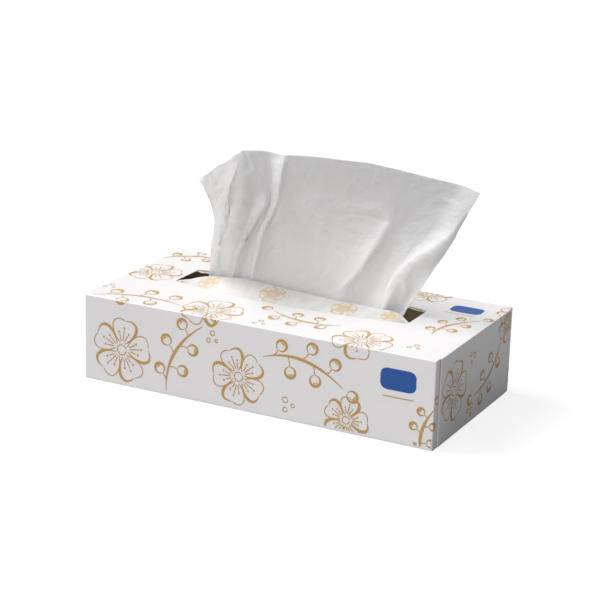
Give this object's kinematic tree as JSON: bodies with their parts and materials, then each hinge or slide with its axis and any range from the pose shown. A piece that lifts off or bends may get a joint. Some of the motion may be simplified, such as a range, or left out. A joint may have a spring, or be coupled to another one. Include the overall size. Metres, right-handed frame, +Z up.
{
  "type": "tissue box",
  "caption": "Flat card carton of pop-up facial tissues: a barrel-shaped opening in its top, a slit film glued under it, the folded stack inside and a gathered sheet standing out of the slit",
  "frame": {"origin": "the middle of the carton's footprint, on the surface that it stands on", "axes": "+X along the carton to the end with the wide seam nearest the viewer's right, +Y from the front panel to the back panel, +Z up out of the opening"},
  "size_m": [0.235, 0.117, 0.1431],
  "materials": {
    "printed_card": "satin",
    "clear_film": "gloss",
    "tissue_paper": "matte"
  },
  "bodies": {
    "root": {"carton": "printed_card", "slit_film": "clear_film", "tissue_stack": "tissue_paper", "popup_tissue": "tissue_paper"}
  },
  "joints": []
}
